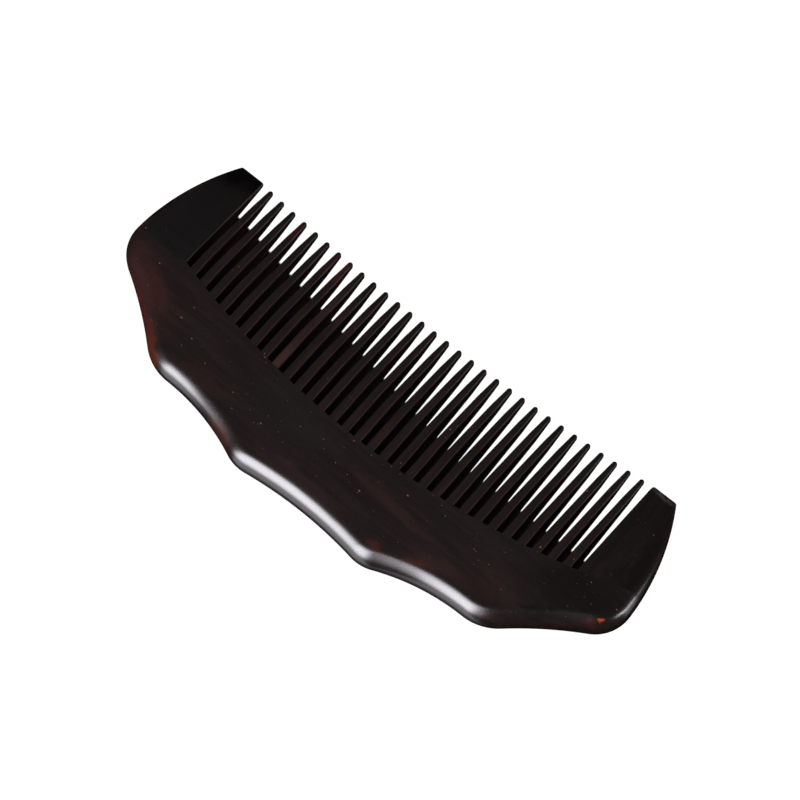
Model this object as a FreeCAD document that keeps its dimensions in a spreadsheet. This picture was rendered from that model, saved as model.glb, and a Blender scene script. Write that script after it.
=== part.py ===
import FreeCAD, Part
import enum
import math
import os

import Sketcher

# Wooden beard comb, lying flat. Millimetres.
#
# The comb is built up from separate pieces of hardwood: a spine whose grain runs along the
# comb, an end guard at each side and a row of teeth whose grain runs along each tooth. Every
# tooth and guard stands on the spine's hollow front edge and is let into it by a tenon in a
# blind mortise, held by a thin film of glue. The glued comb is then profiled, ground thinner
# on both faces towards the tips, rounded and polished, so all faces run flush.
#
# Frame: +X along the comb, +Y from the back towards the tooth tips, +Z up out of the table.
# The origin lies on the table under the middle of the comb. The comb is the same left
# and right, and the same above and below its middle plane.

# Driving sizes. Each is set here once and read from the sheet everywhere else.
SIZES = {
    # the board
    "board_thickness": 7.1,
    "edge_round": 2.9,
    # hollow front edge of the spine, where the slots end
    "root_line_y": -5.6,
    "root_arc_radius": 178.0,
    # scalloped back: three rounded bumps a side, joined by hollow arcs
    "shoulder_past_row": 4.475,
    "shoulder_y": 0.5,
    "shoulder_radius": 7.9,
    "outer_bump_inside_row": 11.425,
    "outer_bump_y": -7.95,
    "outer_bump_radius": 10.5,
    "inner_bump_x": 14.05,
    "inner_bump_y": -14.65,
    "inner_bump_radius": 8.35,
    "end_scallop_radius": 80.0,
    "side_scallop_radius": 45.5,
    "middle_scallop_radius": 86.0,
    # end guards
    "guard_tip_width": 5.475,
    "guard_tip_y": 23.25,
    "guard_edge_radius": 47.0,
    "guard_tip_round": 0.52,
    # teeth
    "tooth_count": 31,
    "tooth_pitch": 3.0,
    "slot_width": 1.25,
    "tip_line_y": 20.87,
    "tip_arc_radius": 490.0,
    "tooth_knee_width": 1.42,
    "tooth_knee_to_tip": 5.0,
    "tooth_tip_width": 1.0,
    # rims along the slots, eased from the roots to the tips
    "root_rim_round": 0.26,
    "tip_rim_round": 0.45,
    # grinding of both faces towards the tips
    "grind_start_y": 3.7,
    "tip_thickness": 1.2,
    # joinery
    "tenon_thickness": 2.4,
    "tenon_side_shoulder": 0.3,
    "tenon_length": 4.0,
    "guard_tenon_width": 6.0,
    "guard_tenon_length": 3.0,
    "glue_film": 0.05,
}

# Length by which cutters run past the wood they cut, and tenons run into it.
OVERRUN = 1.0

# Two points nearer than this are the same point.
TOUCHING = 1e-4
# Largest roundings as a share of the thickness, which leave a narrow flat between two of them.
MOST_ROUND = 0.48
MOST_TIP_ROUND = 0.45

UP = FreeCAD.Vector(0, 0, 1)


class Spot(enum.IntEnum):
    """The sketcher's numbers for the points of an edge."""

    START = 1
    END = 2
    CENTRE = 3


class Axis(enum.IntEnum):
    """The sketcher's numbers for a sketch's own axes."""

    ACROSS = -1
    UPWARDS = -2


START, END, CENTRE = Spot
ORIGIN = (Axis.ACROSS, START)

doc = FreeCAD.newDocument("beard_comb")


def make_sheet():
    """Write the driving sizes to the document's sheet, one named cell each."""
    sheet = doc.addObject("Spreadsheet::Sheet", "Sizes")
    for row, (alias, value) in enumerate(SIZES.items(), start=1):
        sheet.set(f"A{row}", alias.replace("_", " "))
        sheet.set(f"B{row}", str(value))
        sheet.setAlias(f"B{row}", alias)
    doc.recompute()
    return sheet


sheet = make_sheet()


def size(alias):
    """A driving size, read from the sheet."""
    return float(sheet.get(alias))


def in_sheet(formula):
    """The formula with every size name pointing at its cell."""
    words = formula.split(" ")
    return " ".join(f"Sizes.{word}" if word in SIZES else word for word in words)


# ---------------------------------------------------------------- plane geometry


def point(x, y):
    return FreeCAD.Vector(x, y, 0)


def circle_centre(first, first_reach, second, second_reach, wanted):
    """The centre at two given distances from two points; wanted picks one of the two."""
    along = second - first
    span = along.Length
    foot = (first_reach**2 - second_reach**2 + span**2) / (2 * span)
    height = math.sqrt(first_reach**2 - foot**2)
    unit = along / span
    normal = point(-unit.y, unit.x)
    return min((first + unit * foot + normal * (side * height) for side in (1, -1)), key=wanted)


def towards(centre, target, distance):
    """The point at a distance from a centre on the line to a target."""
    return centre + (target - centre).normalize() * distance


def mirrored(place):
    return point(-place.x, place.y)


def lowest(place):
    return place.y


def leftmost(place):
    return place.x


def rightmost(place):
    return -place.x


def row_end():
    """Place of the guards' inner edges, just past the last slots."""
    return (size("tooth_count") * size("tooth_pitch") + size("slot_width")) / 2


class Outline:
    """Centres and touching points of the comb's right-hand outline."""

    def __init__(self):
        self.shoulder = point(row_end() + size("shoulder_past_row"), size("shoulder_y"))
        self.outer_bump = point(row_end() - size("outer_bump_inside_row"), size("outer_bump_y"))
        self.inner_bump = point(size("inner_bump_x"), size("inner_bump_y"))
        self.tip_corner = point(row_end() + size("guard_tip_width"), size("guard_tip_y"))
        self.root = point(0, size("root_line_y") + size("root_arc_radius"))
        shoulder, outer = size("shoulder_radius"), size("outer_bump_radius")
        inner, edge = size("inner_bump_radius"), size("guard_edge_radius")
        self.edge = circle_centre(self.shoulder, edge - shoulder, self.tip_corner, edge, leftmost)
        end, side = size("end_scallop_radius"), size("side_scallop_radius")
        middle = size("middle_scallop_radius")
        self.end_scallop = circle_centre(
            self.shoulder, end + shoulder, self.outer_bump, end + outer, lowest)
        self.side_scallop = circle_centre(
            self.outer_bump, side + outer, self.inner_bump, side + inner, lowest)
        self.middle_scallop = circle_centre(
            self.inner_bump, middle + inner, mirrored(self.inner_bump), middle + inner, lowest)
        self.seam = circle_centre(self.root, size("root_arc_radius"), self.edge, edge, rightmost)
        self.edge_meets_shoulder = towards(self.edge, self.shoulder, edge)
        self.shoulder_leaves = towards(self.shoulder, self.end_scallop, shoulder)
        self.outer_bump_meets = towards(self.outer_bump, self.end_scallop, outer)
        self.outer_bump_leaves = towards(self.outer_bump, self.side_scallop, outer)
        self.inner_bump_meets = towards(self.inner_bump, self.side_scallop, inner)
        self.inner_bump_leaves = towards(self.inner_bump, self.middle_scallop, inner)


def root_y(x):
    """Height of the spine's hollow front edge at a place along the comb."""
    radius = size("root_arc_radius")
    return size("root_line_y") + radius - math.sqrt(radius**2 - x**2)


def tip_y(x):
    """Height of the slightly hollow line of tooth tips at a place along the comb."""
    radius = size("tip_arc_radius")
    return size("tip_line_y") + radius - math.sqrt(radius**2 - x**2)


ROW_END = "( tooth_count * tooth_pitch + slot_width ) / 2"
TIP_CORNER_X = f"( {ROW_END} + guard_tip_width )"
SHOULDER_X = f"( {ROW_END} + shoulder_past_row )"
OUTER_BUMP_X = f"( {ROW_END} - outer_bump_inside_row )"
ROOT_CENTRE = "root_line_y + root_arc_radius"
ARC_AT = "{line} + {radius} - sqrt( {radius} * {radius} - ( {x} ) * ( {x} ) )"


# ---------------------------------------------------------------- sketches and bodies


class Profile:
    """A sketch on one of its body's own planes, drawn edge by edge and bound to the sheet."""

    def __init__(self, body, name, role="XY_Plane"):
        self.sketch = body.newObject("Sketcher::SketchObject", name)
        plane = next(f for f in body.Origin.OriginFeatures if f.Role == role)
        self.sketch.AttachmentSupport = [(plane, "")]
        self.sketch.MapMode = "FlatFace"

    def line(self, begin, finish):
        """Add a line and return its edge with the ends in drawing order."""
        edge = self.sketch.addGeometry(Part.LineSegment(begin, finish), False)
        return edge, START, END

    def arc(self, centre, begin, finish, clockwise=False):
        """Add an arc about a centre and return its edge with the ends in drawing order."""
        first, last = (finish, begin) if clockwise else (begin, finish)
        circle = Part.Circle(centre, UP, (begin - centre).Length)
        angles = [math.atan2(p.y - centre.y, p.x - centre.x) for p in (first, last)]
        if angles[1] < angles[0]:
            angles[1] += 2 * math.pi
        edge = self.sketch.addGeometry(Part.ArcOfCircle(circle, *angles), False)
        return (edge, END, START) if clockwise else (edge, START, END)

    def circle(self, centre, radius):
        """Add a construction circle and return its edge."""
        return self.sketch.addGeometry(Part.Circle(centre, UP, radius), True)

    def rule(self, *rule):
        """Add a constraint and return its number."""
        return self.sketch.addConstraint(Sketcher.Constraint(*rule))

    def bind(self, rule, value, formula):
        """Add a constraint with a size and tie that size to the sheet."""
        number = self.rule(*rule, value)
        self.sketch.setExpression(f"Constraints[{number}]", in_sheet(formula))

    def place(self, edge, spot, at, x_formula=None, y_formula=None):
        """Tie a point of an edge to places in the sheet along one or both axes."""
        if x_formula:
            self.bind(("DistanceX", *ORIGIN, edge, spot), at.x, x_formula)
        if y_formula:
            self.bind(("DistanceY", *ORIGIN, edge, spot), at.y, y_formula)

    def close(self, edges, corners=()):
        """Join the edges into a loop: sharp before the edges in corners, smooth elsewhere."""
        for number, (edge, begin, _) in enumerate(edges):
            before, _, finish = edges[number - 1]
            kind = "Coincident" if number in corners else "Tangent"
            self.rule(kind, before, finish, edge, begin)


def new_body(label):
    body = doc.addObject("PartDesign::Body", f"{label}_blank")
    body.Label = f"{label}_blank"
    return body


def pad(body, profile, formula):
    """Pad a profile upwards from the table."""
    feature = body.newObject("PartDesign::Pad", f"{body.Name}_pad")
    feature.Profile = profile.sketch
    feature.setExpression("Length", in_sheet(formula))
    profile.sketch.Visibility = False
    return feature


def grind(body):
    """Grind both faces flat and thinner from the grinding line to the tips."""
    profile = Profile(body, f"{body.Name}_grind_profile", "YZ_Plane")
    thickness, tip = size("board_thickness"), size("tip_thickness")
    start, finish = size("grind_start_y"), size("guard_tip_y")
    slope = (thickness - tip) / 2 / (finish - start)
    slope_formula = "( board_thickness - tip_thickness ) / 2 / ( guard_tip_y - grind_start_y )"
    end = finish + OVERRUN
    drop = slope * (end - start)
    drop_formula = f"{slope_formula} * ( guard_tip_y + {OVERRUN} - grind_start_y )"
    for face, face_formula, out in ((thickness, "board_thickness", 1), (0, "0", -1)):
        outside = face + out * OVERRUN
        corners = [point(start, face), point(end, face - out * drop), point(end, outside),
                   point(start, outside)]
        edges = [profile.line(corners[i - 1], corners[i]) for i in range(4)]
        profile.close(edges, corners=range(4))
        left, slanted, right, flat = (edge for edge, _, _ in edges)
        profile.rule("Vertical", left)
        profile.rule("Vertical", right)
        profile.rule("Horizontal", flat)
        profile.place(slanted, START, corners[0], "grind_start_y", face_formula)
        profile.place(slanted, END, corners[1], f"guard_tip_y + {OVERRUN}",
                      f"{face_formula} - {out} * {drop_formula}")
        profile.place(flat, START, corners[2], None, f"{face_formula} + {out * OVERRUN}")
    cut = body.newObject("PartDesign::Pocket", f"{body.Name}_grind")
    cut.Profile = profile.sketch
    cut.SideType = "Symmetric"
    cut.setExpression("Length", in_sheet(f"2 * {TIP_CORNER_X} + 2 * {SHOULDER_X}"))
    profile.sketch.Visibility = False
    return cut


def edge_names(shape, wanted):
    """Names of the edges of a shape whose middle point the test picks."""
    names = []
    for number, edge in enumerate(shape.Edges, start=1):
        middle = edge.valueAt((edge.FirstParameter + edge.LastParameter) / 2)
        if wanted(edge, middle):
            names.append(f"Edge{number}")
    return names


def fillet(body, base, wanted, formula):
    """Round the picked edges of a feature."""
    doc.recompute()
    feature = body.newObject("PartDesign::Fillet", f"{body.Name}_round")
    feature.Base = (base, edge_names(base.Shape, wanted))
    feature.setExpression("Radius", in_sheet(formula))
    return feature


# ---------------------------------------------------------------- spine

outline = Outline()


def draw_root_arc(profile, begin, finish):
    """The spine's hollow front edge, with its centre on the comb's middle line."""
    arc = profile.arc(outline.root, begin, finish)
    profile.rule("PointOnObject", arc[0], CENTRE, Axis.UPWARDS)
    profile.place(arc[0], CENTRE, outline.root, None, ROOT_CENTRE)
    profile.bind(("Radius", arc[0]), size("root_arc_radius"), "root_arc_radius")
    return arc


def draw_back(profile):
    """The scalloped back from the right-hand seam round to the left-hand one."""
    o = outline
    right = [
        ("guard_edge_radius", o.edge, o.seam, o.edge_meets_shoulder, True),
        ("shoulder_radius", o.shoulder, o.edge_meets_shoulder, o.shoulder_leaves, True),
        ("end_scallop_radius", o.end_scallop, o.shoulder_leaves, o.outer_bump_meets, False),
        ("outer_bump_radius", o.outer_bump, o.outer_bump_meets, o.outer_bump_leaves, True),
        ("side_scallop_radius", o.side_scallop, o.outer_bump_leaves, o.inner_bump_meets, False),
        ("inner_bump_radius", o.inner_bump, o.inner_bump_meets, o.inner_bump_leaves, True),
    ]
    edges = [profile.arc(centre, begin, finish, cw) for _, centre, begin, finish, cw in right]
    leaves = o.inner_bump_leaves
    middle = profile.arc(o.middle_scallop, leaves, mirrored(leaves))
    left = [profile.arc(mirrored(centre), mirrored(finish), mirrored(begin), cw)
            for _, centre, begin, finish, cw in reversed(right)]
    for (alias, *_), edge, twin in zip(right, edges, reversed(left)):
        profile.bind(("Radius", edge[0]), size(alias), alias)
        profile.rule("Equal", edge[0], twin[0])
    profile.bind(("Radius", middle[0]), size("middle_scallop_radius"), "middle_scallop_radius")
    bumps = ((1, SHOULDER_X, "shoulder_y"), (3, OUTER_BUMP_X, "outer_bump_y"),
             (5, "inner_bump_x", "inner_bump_y"))
    for number, x_formula, y_formula in bumps:
        edge, twin = edges[number][0], left[-1 - number][0]
        profile.place(edge, CENTRE, right[number][1], x_formula, y_formula)
        profile.rule("Symmetric", edge, CENTRE, twin, CENTRE, Axis.UPWARDS)
    return edges + [middle] + left


def run_through_tip_corner(profile, edge, side):
    """Make the guard's outer edge run through the corner of its tip."""
    place = point(side * outline.tip_corner.x, outline.tip_corner.y)
    corner = profile.sketch.addGeometry(Part.Point(place), True)
    profile.place(corner, START, place, f"{side} * {TIP_CORNER_X}", "guard_tip_y")
    profile.rule("PointOnObject", corner, START, edge)


def on_root_arc(middle):
    """Whether a point lies on the spine's hollow front edge."""
    reach = math.hypot(middle.x, middle.y - outline.root.y)
    return abs(reach - size("root_arc_radius")) < TOUCHING


def is_level(edge):
    """Whether an edge lies flat in one of the comb's faces."""
    return edge.BoundBox.ZLength < TOUCHING


def make_mortise(name, x_formula, width_formula, length_formula):
    """A blind mortise in the spine's front edge, a glue film larger than its tenon."""
    box = doc.addObject("Part::Box", name)
    root = ARC_AT.format(line="root_line_y", radius="root_arc_radius", x=x_formula)
    box.setExpression("Length", in_sheet(f"{width_formula} + 2 * glue_film"))
    box.setExpression("Width", in_sheet(f"{length_formula} + glue_film + {OVERRUN}"))
    box.setExpression("Height", in_sheet("tenon_thickness + 2 * glue_film"))
    box.setExpression(".Placement.Base.x", in_sheet(
        f"{x_formula} - ( {width_formula} ) / 2 - glue_film"))
    box.setExpression(".Placement.Base.y", in_sheet(f"{root} - {length_formula} - glue_film"))
    box.setExpression(".Placement.Base.z", in_sheet(
        "( board_thickness - tenon_thickness ) / 2 - glue_film"))
    return box


def tooth_x(number):
    """Formula of a tooth's place along the comb, counted from the left."""
    return f"( {number} - ( tooth_count + 1 ) / 2 ) * tooth_pitch"


TENON_WIDTH = "( tooth_pitch - slot_width - 2 * tenon_side_shoulder )"
GUARD_TENON_X = f"( {ROW_END} + {SHOULDER_X} + shoulder_radius ) / 2"


def make_spine():
    """The spine: scalloped board with a rounded back and a mortise for each tooth and guard."""
    body = new_body("spine_board")
    profile = Profile(body, "spine_outline")
    back = draw_back(profile)
    root = draw_root_arc(profile, mirrored(outline.seam), outline.seam)
    profile.close([root] + back, corners=(0, 1))
    run_through_tip_corner(profile, back[0][0], 1)
    run_through_tip_corner(profile, back[-1][0], -1)
    blank = pad(body, profile, "board_thickness")
    fillet(body, blank, lambda edge, middle: is_level(edge) and not on_root_arc(middle),
           f"min( edge_round ; {MOST_ROUND} * board_thickness )")
    mortises = [make_mortise(f"mortise_{number:02d}", tooth_x(number), TENON_WIDTH, "tenon_length")
                for number in range(1, int(size("tooth_count")) + 1)]
    for name, side in (("left", "-1"), ("right", "1")):
        mortises.append(make_mortise(f"mortise_{name}", f"{side} * {GUARD_TENON_X}",
                                     "guard_tenon_width", "guard_tenon_length"))
    cutters = doc.addObject("Part::Compound", "mortises")
    cutters.Links = mortises
    spine = doc.addObject("Part::Cut", "spine_board")
    spine.Base = body
    spine.Tool = cutters
    spine.Label = "spine_board"
    return spine


# ---------------------------------------------------------------- end guards


def add_tenon(body, x_formula, width_formula, length_formula):
    """A tenon on the foot of a piece, running into its mortise in the spine."""
    tenon = body.newObject("PartDesign::AdditiveBox", f"{body.Name}_tenon")
    root = ARC_AT.format(line="root_line_y", radius="root_arc_radius", x=x_formula)
    tenon.setExpression("Length", in_sheet(width_formula))
    tenon.setExpression("Width", in_sheet(f"{length_formula} + {OVERRUN}"))
    tenon.setExpression("Height", in_sheet("tenon_thickness"))
    tenon.setExpression(".Placement.Base.x", in_sheet(f"{x_formula} - ( {width_formula} ) / 2"))
    tenon.setExpression(".Placement.Base.y", in_sheet(f"{root} - {length_formula}"))
    tenon.setExpression(".Placement.Base.z", in_sheet("( board_thickness - tenon_thickness ) / 2"))
    return tenon


def make_guard(label, side):
    """An end guard: a wide flat-tipped tooth with a bowed outer edge."""
    body = new_body(label)
    profile = Profile(body, f"{label}_outline")
    inner_x = side * row_end()
    foot = point(inner_x, root_y(inner_x))
    tip = point(inner_x, size("guard_tip_y"))
    seam = point(side * outline.seam.x, outline.seam.y)
    corner = point(side * outline.tip_corner.x, outline.tip_corner.y)
    edge_centre = point(side * outline.edge.x, outline.edge.y)
    inner = profile.line(tip, foot)
    if side > 0:
        root = draw_root_arc(profile, foot, seam)
    else:
        root_edge, begin, finish = draw_root_arc(profile, seam, foot)
        root = (root_edge, finish, begin)
    outer = profile.arc(edge_centre, seam, corner, clockwise=side < 0)
    flat = profile.line(corner, tip)
    profile.close([inner, root, outer, flat], corners=range(4))
    profile.rule("Vertical", inner[0])
    profile.rule("Horizontal", flat[0])
    profile.place(flat[0], START, corner, f"{side} * {TIP_CORNER_X}", "guard_tip_y")
    profile.place(inner[0], START, tip, f"{side} * {ROW_END}")
    profile.bind(("Radius", outer[0]), size("guard_edge_radius"), "guard_edge_radius")
    shoulder_place = point(side * outline.shoulder.x, outline.shoulder.y)
    shoulder = profile.circle(shoulder_place, size("shoulder_radius"))
    profile.bind(("Radius", shoulder), size("shoulder_radius"), "shoulder_radius")
    profile.place(shoulder, CENTRE, shoulder_place, f"{side} * {SHOULDER_X}", "shoulder_y")
    profile.rule("Tangent", outer[0], shoulder)
    pad(body, profile, "board_thickness")
    grind(body)
    add_tenon(body, f"{side} * {GUARD_TENON_X}", "guard_tenon_width", "guard_tenon_length")
    grind_start, tip_face = size("grind_start_y"), size("guard_tip_y")
    tip_rim = min(back_round(), MOST_ROUND * size("tip_thickness"))
    tip_round = min(size("guard_tip_round"), MOST_TIP_ROUND * size("tip_thickness"))

    def outer_rims(begin, middle, finish):
        """The bowed rims, eased from the back's rounding down to the thin tip."""
        if abs(middle.x - outline_x(side, middle.y)) < TOUCHING:
            return tuple(back_round() if end.y <= grind_start + TOUCHING else tip_rim
                         for end in (begin, finish))

    def tip_face_rim(begin, middle, finish):
        """The rim of the flat tip, apart from its corner with the slot."""
        if min(begin.y, middle.y, finish.y) > tip_face - TOUCHING:
            if abs(middle.x - inner_x) > TOUCHING:
                return tip_round, tip_round

    def slot_rims(begin, middle, finish):
        """The long rims beside the first slot."""
        if all(abs(spot.x - inner_x) < TOUCHING for spot in (begin, middle, finish)):
            if in_a_face(middle):
                return slot_round(begin.y), slot_round(finish.y)

    bowed = round_rims(f"{label}_bowed", body, outer_rims, faces_only=True)
    tipped = round_rims(f"{label}_tipped", bowed, tip_face_rim)
    return round_rims(label, tipped, slot_rims)


def outline_x(side, y):
    """Place along the comb of a guard's bowed outer edge at a height."""
    return side * (outline.edge.x + math.sqrt(size("guard_edge_radius")**2 - (y - outline.edge.y)**2))


def back_round():
    """Radius along the back, a little less than half the board."""
    return min(size("edge_round"), MOST_ROUND * size("board_thickness"))


def slot_round(y):
    """Radius of the rims along the slots at a height, small enough for the tooth tips."""
    root, tip = size("root_rim_round"), size("tip_rim_round")
    share = (y - size("root_line_y")) / (size("guard_tip_y") - size("root_line_y"))
    return min(root + (tip - root) * share, MOST_TIP_ROUND * size("tooth_tip_width"),
               MOST_TIP_ROUND * size("tip_thickness"))


def half_thickness(y):
    """Half the ground thickness at a height above the grinding line."""
    start, finish = size("grind_start_y"), size("guard_tip_y")
    whole, tip = size("board_thickness") / 2, size("tip_thickness") / 2
    return whole - (whole - tip) * max(0, y - start) / (finish - start)


def in_a_face(place):
    """Whether a point lies in the upper or lower face of a guard or tooth."""
    from_middle = abs(place.z - size("board_thickness") / 2)
    return abs(from_middle - half_thickness(place.y)) < TOUCHING


def is_rim(begin, middle, finish):
    """Whether an edge bounds a face, apart from the foot and the grinding line."""
    at_grinding_line = abs(middle.y - size("grind_start_y")) < TOUCHING
    return all(map(in_a_face, (begin, middle, finish))) and not (
        at_grinding_line or on_root_arc(middle))


def round_rims(label, base, radii_of, faces_only=False):
    """Round the edges that radii_of gives a first and a last radius for."""
    doc.recompute()
    rounded = doc.addObject("Part::Fillet", label)
    rounded.Base = base
    rims = []
    for number, edge in enumerate(base.Shape.Edges, start=1):
        first, last = edge.FirstParameter, edge.LastParameter
        spots = [edge.valueAt(at) for at in (first, (first + last) / 2, last)]
        if faces_only and not is_rim(*spots):
            continue
        radii = radii_of(*spots)
        if radii:
            rims.append((number, *radii))
    rounded.Edges = rims
    rounded.Label = label
    return rounded


# ---------------------------------------------------------------- teeth


def make_tooth(number):
    """A tooth: a long gentle taper from the root, then a quicker one to a round tip."""
    label = f"tooth_{number:02d}"
    body = new_body(label)
    profile = Profile(body, f"{label}_outline")
    x = (number - (size("tooth_count") + 1) / 2) * size("tooth_pitch")
    half, knee_half = (size("tooth_pitch") - size("slot_width")) / 2, size("tooth_knee_width") / 2
    tip_radius = size("tooth_tip_width") / 2
    tip = point(x, tip_y(x) - tip_radius)
    knees = [point(x + side * knee_half, tip_y(x) - size("tooth_knee_to_tip")) for side in (1, -1)]
    feet = [point(x + side * half, root_y(x + side * half)) for side in (1, -1)]
    reach = math.sqrt((tip - knees[0]).Length**2 - tip_radius**2)
    touch = circle_centre(knees[0], reach, tip, tip_radius, rightmost)
    touches = [touch, point(2 * x - touch.x, touch.y)]
    root = draw_root_arc(profile, feet[1], feet[0])
    right = profile.line(feet[0], knees[0])
    right_taper = profile.line(knees[0], touches[0])
    round_tip = profile.arc(tip, touches[0], touches[1])
    left_taper = profile.line(touches[1], knees[1])
    left = profile.line(knees[1], feet[1])
    edges = [root, right, right_taper, round_tip, left_taper, left]
    profile.close(edges, corners=(0, 1, 2, 5))
    at_x = tooth_x(number)
    tip_top = ARC_AT.format(line="tip_line_y", radius="tip_arc_radius", x=at_x)
    sides = (("+", right[0], START, right_taper[0], feet[0], knees[0]),
             ("-", left[0], END, left[0], feet[1], knees[1]))
    for sign, side_line, foot_end, knee_line, foot, knee in sides:
        profile.place(side_line, foot_end, foot, f"{at_x} {sign} ( tooth_pitch - slot_width ) / 2")
        profile.place(knee_line, START, knee, f"{at_x} {sign} tooth_knee_width / 2",
                      f"{tip_top} - tooth_knee_to_tip")
    profile.place(round_tip[0], CENTRE, tip, at_x, f"{tip_top} - tooth_tip_width / 2")
    profile.bind(("Radius", round_tip[0]), tip_radius, "tooth_tip_width / 2")
    pad(body, profile, "board_thickness")
    grind(body)
    add_tenon(body, at_x, TENON_WIDTH, "tenon_length")

    def rims(begin, _, finish):
        """The rims of both faces, eased from the root to the tip."""
        return slot_round(begin.y), slot_round(finish.y)

    return round_rims(label, body, rims, faces_only=True)


# ---------------------------------------------------------------- build and export

pieces = [make_spine(), make_guard("guard_left", -1), make_guard("guard_right", 1)]
pieces += [make_tooth(number) for number in range(1, int(size("tooth_count")) + 1)]
doc.recompute()

for item in doc.Objects:
    if "Invalid" in item.State or "Error" in item.State:
        raise RuntimeError(f"{item.Label} did not build: {item.State}")
for piece in pieces:
    if piece.Shape.isNull() or not piece.Shape.isValid() or len(piece.Shape.Solids) != 1:
        raise RuntimeError(f"{piece.Label} is not one sound solid")

os.makedirs("parts", exist_ok=True)
for piece in pieces:
    piece.Shape.exportStep(f"parts/{piece.Label}.step")
    print(f"{piece.Label:12s} {piece.Shape.Volume:9.1f} mm3")
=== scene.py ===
"""A dark hardwood beard comb lying on a light table, dressed for rendering.

The comb is built up from a scalloped spine, two end guards and a row of teeth. Each piece stands
for one solid of the frame and keeps its place and size. Sizes are in millimetres, apart from those
of the lights and the floor, which are in metres, and angles are in degrees.
"""

import enum
import logging
import math
from collections.abc import Iterator, Mapping, Sequence
from dataclasses import dataclass
from itertools import accumulate, pairwise
from typing import ClassVar

import bmesh
import bpy
from mathutils import Matrix, Quaternion, Vector

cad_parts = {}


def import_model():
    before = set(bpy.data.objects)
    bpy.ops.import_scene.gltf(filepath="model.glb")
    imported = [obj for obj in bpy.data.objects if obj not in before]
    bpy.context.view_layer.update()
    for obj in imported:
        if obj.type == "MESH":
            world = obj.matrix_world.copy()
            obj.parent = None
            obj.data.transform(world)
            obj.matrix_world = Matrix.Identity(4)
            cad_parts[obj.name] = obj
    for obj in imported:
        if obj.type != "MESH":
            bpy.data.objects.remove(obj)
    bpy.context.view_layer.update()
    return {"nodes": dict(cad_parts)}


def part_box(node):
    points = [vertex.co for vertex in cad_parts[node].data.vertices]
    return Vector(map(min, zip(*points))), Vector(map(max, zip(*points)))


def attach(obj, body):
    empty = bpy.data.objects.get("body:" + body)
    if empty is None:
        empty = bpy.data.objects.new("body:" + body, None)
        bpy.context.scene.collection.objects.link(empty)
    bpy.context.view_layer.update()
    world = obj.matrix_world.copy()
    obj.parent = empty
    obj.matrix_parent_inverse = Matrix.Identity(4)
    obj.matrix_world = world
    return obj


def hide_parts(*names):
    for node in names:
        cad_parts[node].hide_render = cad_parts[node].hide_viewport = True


log = logging.getLogger("beard_comb")

METRES = 0.001  # metres in a millimetre
SHARP_ANGLE = math.radians(35.0)  # faces that meet at more than this keep a crisp edge
SNUG = 0.9997  # share of full size that keeps round outlines within the flats of their solids
WELD = 1e-7  # metres within which two points of a mesh are one
QUARTER_TURN = math.radians(90)

Tone = tuple[int, int, int]  # a colour's three numbers on a screen, each 0 to 255
Span = tuple[float, float]  # where a smooth step starts from nothing and where it is full
MOST_NOISE: Span = (0.3, 0.7)  # values between which a soft noise mostly lies


# ---------------------------------------------------------------- node trees


class Wire:
    """An output socket that can stand in Python arithmetic."""

    def __init__(self, graph: "Graph", socket: bpy.types.NodeSocket) -> None:
        """Wrap a socket of a graph."""
        self.graph = graph
        self.socket = socket

    def __add__(self, other: "Number") -> "Wire":
        """Sum."""
        return self.graph.maths("ADD", self, other)

    __radd__ = __add__

    def __sub__(self, other: "Number") -> "Wire":
        """Difference."""
        return self.graph.maths("SUBTRACT", self, other)

    def __rsub__(self, other: "Number") -> "Wire":
        """Difference from a number."""
        return self.graph.maths("SUBTRACT", other, self)

    def __mul__(self, other: "Number") -> "Wire":
        """Product."""
        return self.graph.maths("MULTIPLY", self, other)

    __rmul__ = __mul__

    def __truediv__(self, other: "Number") -> "Wire":
        """Quotient."""
        return self.graph.maths("DIVIDE", self, other)

    def __rtruediv__(self, other: "Number") -> "Wire":
        """Quotient of a number."""
        return self.graph.maths("DIVIDE", other, self)

    def __pow__(self, other: "Number") -> "Wire":
        """Power."""
        return self.graph.maths("POWER", self, other)

    def __rpow__(self, other: "Number") -> "Wire":
        """Power of a number."""
        return self.graph.maths("POWER", other, self)

    def __abs__(self) -> "Wire":
        """Size without the sign."""
        return self.graph.maths("ABSOLUTE", self)

    def least(self, other: "Number") -> "Wire":
        """The smaller of this and another value."""
        return self.graph.maths("MINIMUM", self, other)

    def most(self, other: "Number") -> "Wire":
        """The larger of this and another value."""
        return self.graph.maths("MAXIMUM", self, other)

    def ramp(self, low: float, high: float) -> "Wire":
        """Make a smooth step, which falls instead of rising if low is the larger.

        Args:
            low: Where the step is 0.
            high: Where it is 1.

        Returns:
            The step's value, between 0 and 1.
        """
        return self.graph.node(
            "ShaderNodeMapRange", {"interpolation_type": "SMOOTHSTEP", "clamp": True},
            {"Value": self, "From Min": low, "From Max": high})

    def beside(self, name: str) -> "Wire":
        """Another output of the same node."""
        return Wire(self.graph, self.socket.node.outputs[name])


Number = float | int | Wire


def within(value: Number) -> Number:
    """A number or a wire, held between 0 and 1."""
    return value.most(0.0).least(1.0) if isinstance(value, Wire) else min(1.0, max(0.0, value))


def square_root(value: Number) -> Number:
    """The square root of a number or a wire."""
    return value.graph.maths("SQRT", value) if isinstance(value, Wire) else math.sqrt(value)


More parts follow.
